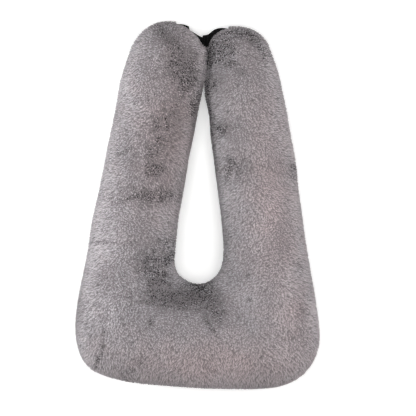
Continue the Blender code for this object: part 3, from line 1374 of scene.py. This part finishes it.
@dataclass
class Strap:
    """A length of webbing with round selvedges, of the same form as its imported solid.

    Attributes:
        node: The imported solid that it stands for.
        name: The piece's name.
        material: The webbing's material.
        hem: How far its free end is folded back on it, or 0.
        hem_gap: The gap inside that fold.
        fold_steps: The steps of the fold's half turn.
        edge_radius: The radius of its edges.
        sharp: The least angle of an edge that gets that radius.
        flat: The angle between triangles up to which they are joined to one face.
        skew: How far from square that face may be, here any form.
        facing: How squarely the faces of its free end look down -X.
        hem_steps: The steps of the hem's length.
    """

    node: bpy.types.Object
    name: str
    material: bpy.types.Material
    hem: float = 0.0
    hem_gap: float = 0.4 * MM
    fold_steps: int = 6
    edge_radius: float = 0.6 * MM
    sharp: float = math.radians(60)
    flat: float = 0.7
    skew: float = 3.14
    facing: float = 0.9
    hem_steps: int = 2

    def build(self) -> bpy.types.Object:
        """Builds and dresses the strap.

        Returns:
            The strap's object.
        """
        shape = merged_copy(self.node)
        bmesh.ops.join_triangles(
            shape, faces=shape.faces, angle_face_threshold=self.flat,
            angle_shape_threshold=self.skew,
        )
        if self.hem:
            self.fold_hem(shape)
        edges = [
            edge for edge in shape.edges
            if edge.is_convex and edge.calc_face_angle(0.0) > self.sharp
            and edge.calc_length() > self.edge_radius
        ]
        bmesh.ops.bevel(
            shape, geom=edges, offset=self.edge_radius, segments=2, profile=0.5,
            affect="EDGES", material=-1,
        )
        made = add_shape(self.name, shape, self.material)
        rounded = made.modifiers.new("soft", "SUBSURF")
        rounded.levels = rounded.render_levels = 1
        return made

    def fold_hem(self, shape: bmesh.types.BMesh) -> None:
        """Folds the end with the lowest x back over the strap.

        Args:
            shape: The strap's bmesh.
        """
        end = min(vertex.co.x for vertex in shape.verts)
        cap = [face for face in shape.faces if face.normal.x < -self.facing]
        cap = [face for face in cap if face.calc_center_median().x < end + self.edge_radius]
        corners = sorted({v for face in cap for v in face.verts}, key=lambda v: v.co.z)
        upper = sorted(corners[len(corners) // 2:], key=lambda v: v.co.y)
        first, last = upper[0].co.copy(), upper[-1].co.copy()
        middle = first + Vector((0, 0, self.hem_gap / 2))
        fold = bmesh.ops.spin(
            shape, geom=cap, cent=middle, axis=(last - first).normalized(), angle=math.pi,
            steps=self.fold_steps,
        )["geom_last"]
        for _ in range(self.hem_steps):
            layer = bmesh.ops.extrude_face_region(
                shape, geom=[part for part in fold if isinstance(part, bmesh.types.BMFace)]
            )["geom"]
            moved = [part for part in layer if isinstance(part, bmesh.types.BMVert)]
            bmesh.ops.translate(shape, verts=moved, vec=(self.hem / self.hem_steps, 0, 0))
            fold = layer
        bmesh.ops.recalc_face_normals(shape, faces=shape.faces)


@dataclass(frozen=True)
class StitchRow:
    """A straight row of stitches.

    Attributes:
        start: Where it starts, as x and y in millimetres.
        end: Where it ends, as x and y in millimetres.
        from_above: Whether it lies on the webbing's upper side.
    """

    start: tuple[float, float]
    end: tuple[float, float]
    from_above: bool


# Two rows across the hem, and a box of stitches with a cross where the strap is sewn on.
STRAP_RIGHT_ROWS = (
    StitchRow((11.5, 259.5), (11.5, 286.0), True),
    StitchRow((17.5, 260.5), (17.5, 287.5), True),
    StitchRow((60.0, 269.5), (60.0, 292.5), False),
    StitchRow((60.0, 292.5), (77.5, 287.0), False),
    StitchRow((77.5, 287.0), (77.5, 264.0), False),
    StitchRow((77.5, 264.0), (60.0, 269.5), False),
    StitchRow((60.5, 270.5), (77.0, 286.0), False),
    StitchRow((60.5, 291.5), (77.0, 265.0), False),
)


@dataclass
class Stitching:
    """Rows of thread on a strap, each stitch sunk halfway into the webbing.

    Attributes:
        strap: The strap's object.
        name: The piece's name.
        rows: The rows.
        finish: The thread's finish.
        pitch: The distance from stitch to stitch.
        length: A stitch's length.
        radius: The thread's radius.
    """

    strap: bpy.types.Object
    name: str
    rows: tuple[StitchRow, ...]
    finish: ThreadFinish = ThreadFinish()
    pitch: float = 2.8 * MM
    length: float = 2.2 * MM
    radius: float = 0.28 * MM

    def build(self) -> bpy.types.Object:
        """Sews the rows and dresses them.

        Returns:
            All the stitches as one object.
        """
        webbing = BVHTree.FromObject(self.strap, bpy.context.evaluated_depsgraph_get())
        shape = bmesh.new()
        for row in self.rows:
            start, end = (Vector((*corner, 0.0)) * MM for corner in (row.start, row.end))
            along = end - start
            count = round(along.length / self.pitch)
            for number in range(count):
                self.sew(shape, webbing, start + along * (number + 0.5) / count, along, row)
        return add_shape(self.name, shape, self.finish.material())

    def sew(
        self, shape: bmesh.types.BMesh, webbing: BVHTree, place: Vector, along: Vector,
        row: StitchRow,
    ) -> None:
        """Adds one stitch where a line straight down or up meets the webbing.

        Args:
            shape: The stitches' bmesh.
            webbing: The strap's surface.
            place: The stitch's place, seen from above.
            along: The row's way.
            row: The row.
        """
        side = 1.0 if row.from_above else -1.0
        start = place + Vector((0, 0, side))
        hit, normal, _, _ = webbing.ray_cast(start, Vector((0, 0, -side)))
        if hit is None:
            return
        across = normal.cross(along).normalized()
        turn = Matrix((across.cross(normal), across, normal)).transposed().to_4x4()
        size = Matrix.Diagonal((self.length / 2, self.radius, self.radius, 1.0))
        bmesh.ops.create_icosphere(
            shape, subdivisions=2, radius=1.0, matrix=Matrix.Translation(hit) @ turn @ size
        )


@dataclass(frozen=True)
class Softbox:
    """A square softbox that faces the pillow.

    Attributes:
        name: Its name.
        place: Where it hangs.
        power: Its power in watts.
        size: Its side's length.
    """

    name: str
    place: tuple[float, float, float]
    power: float
    size: float = 1.6

    def hang(self, aim: Vector) -> None:
        """Hangs it, out of the camera's sight.

        Args:
            aim: The place that it faces.
        """
        light = bpy.data.lights.new(self.name, "AREA")
        light.shape = "SQUARE"
        light.size = self.size
        light.energy = self.power
        made = add_object(self.name, light)
        made.location = self.place
        made.rotation_euler = (aim - Vector(self.place)).to_track_quat("-Z", "Y").to_euler()
        made.visible_camera = False


@dataclass
class Studio:
    """A pale light table, soft lights and a camera that looks straight down at the face.

    Attributes:
        seam_height: The height at which the photograph's scale holds.
        middle: The place under the photograph's centre.
        field_width: How wide the photograph is at that height.
        distance: From the camera down to that height. A long lens from far off gives the
            picture next to no perspective.
        sensor: The camera sensor's width, in millimetres.
        reach: How far the floor reaches from the middle.
        paper: The floor's finish.
        sky: The sky's colour.
        sky_strength: How bright the sky is.
        softboxes: The lights.
    """

    seam_height: float = 56 * MM
    middle: tuple[float, float] = (17.7 * MM, -5.0 * MM)
    field_width: float = 701 * MM
    distance: float = 10.0
    sensor: float = 36.0
    reach: float = 4.0
    paper: PaperFinish = PaperFinish()
    sky: str = "#ffffff"
    sky_strength: float = 0.02
    softboxes: tuple[Softbox, ...] = (
        Softbox("overhead", (0.0, 0.0, 2.6), 55.0),
        Softbox("left", (-2.3, 0.0, 0.7), 62.0),
        Softbox("right_low", (2.3, 0.0, 0.7), 18.0),
        Softbox("right", (1.8, 0.0, 1.5), 14.0),
        Softbox("base", (0.0, -1.8, 1.5), 8.0),
        Softbox("tips", (0.0, 2.3, 0.7), 7.0),
    )

    def build(self) -> None:
        """Sets up the floor, the lights and the camera."""
        self.floor()
        self.lights()
        self.camera()

    def floor(self) -> None:
        """Lays the pale floor at z = 0."""
        shape = bmesh.new()
        bmesh.ops.create_grid(shape, x_segments=1, y_segments=1, size=self.reach)
        add_shape("floor", shape, self.paper.material())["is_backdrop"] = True

    def lights(self) -> None:
        """Lights the pillow mostly from above and from the left."""
        world = bpy.data.worlds.new("soft_white")
        world.use_nodes = True
        background = world.node_tree.nodes["Background"]
        background.inputs["Color"].default_value = linear(self.sky)
        background.inputs["Strength"].default_value = self.sky_strength
        bpy.context.scene.world = world
        for softbox in self.softboxes:
            softbox.hang(Vector((0, 0, self.seam_height)))

    def camera(self) -> None:
        """Hangs the camera straight over the photograph's centre, with +Y up the picture."""
        lens = bpy.data.cameras.new("camera")
        lens.sensor_width = self.sensor
        lens.lens = self.sensor * self.distance / self.field_width
        made = add_object("camera", lens)
        made.location = (*self.middle, self.seam_height + self.distance)
        bpy.context.scene.camera = made
        bpy.context.scene.view_settings.view_transform = "Standard"


def report(piece: bpy.types.Object) -> None:
    """Logs a finished piece with its number of triangles.

    Args:
        piece: The piece.
    """
    triangles = len(piece.data.loops) - 2 * len(piece.data.polygons)
    LOG.info("%s: %d triangles", piece.name, triangles)


def write_size() -> None:
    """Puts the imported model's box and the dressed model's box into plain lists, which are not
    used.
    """
    boxes = {"cad": CAD_BOX, "visual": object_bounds()}
    plain = {name: [list(corner) for corner in box] for name, box in boxes.items()}


def main() -> None:
    """Builds the pillow's pieces in order, then the studio."""
    logging.basicConfig(level=logging.INFO, format="%(message)s")
    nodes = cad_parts

    cover = FilledCover(nodes["pillow"]).build()
    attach(cover, BODY)
    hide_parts("pillow")
    report(cover)

    webbing = WebbingFinish().material()
    left = Strap(nodes["strap_left"], "webbing_strap_left", webbing).build()
    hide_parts("strap_left")
    right = Strap(nodes["strap_right"], "webbing_strap_right", webbing, hem=9 * MM).build()
    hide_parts("strap_right")
    stitches = Stitching(right, "strap_right_stitches", STRAP_RIGHT_ROWS).build()
    for piece in (left, right, stitches):
        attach(piece, BODY)
        report(piece)

    for piece in Pile(cover, (left, right)).build().values():
        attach(piece, BODY)
        report(piece)

    Studio().build()
    write_size()


if __name__ == "__main__":
    main()
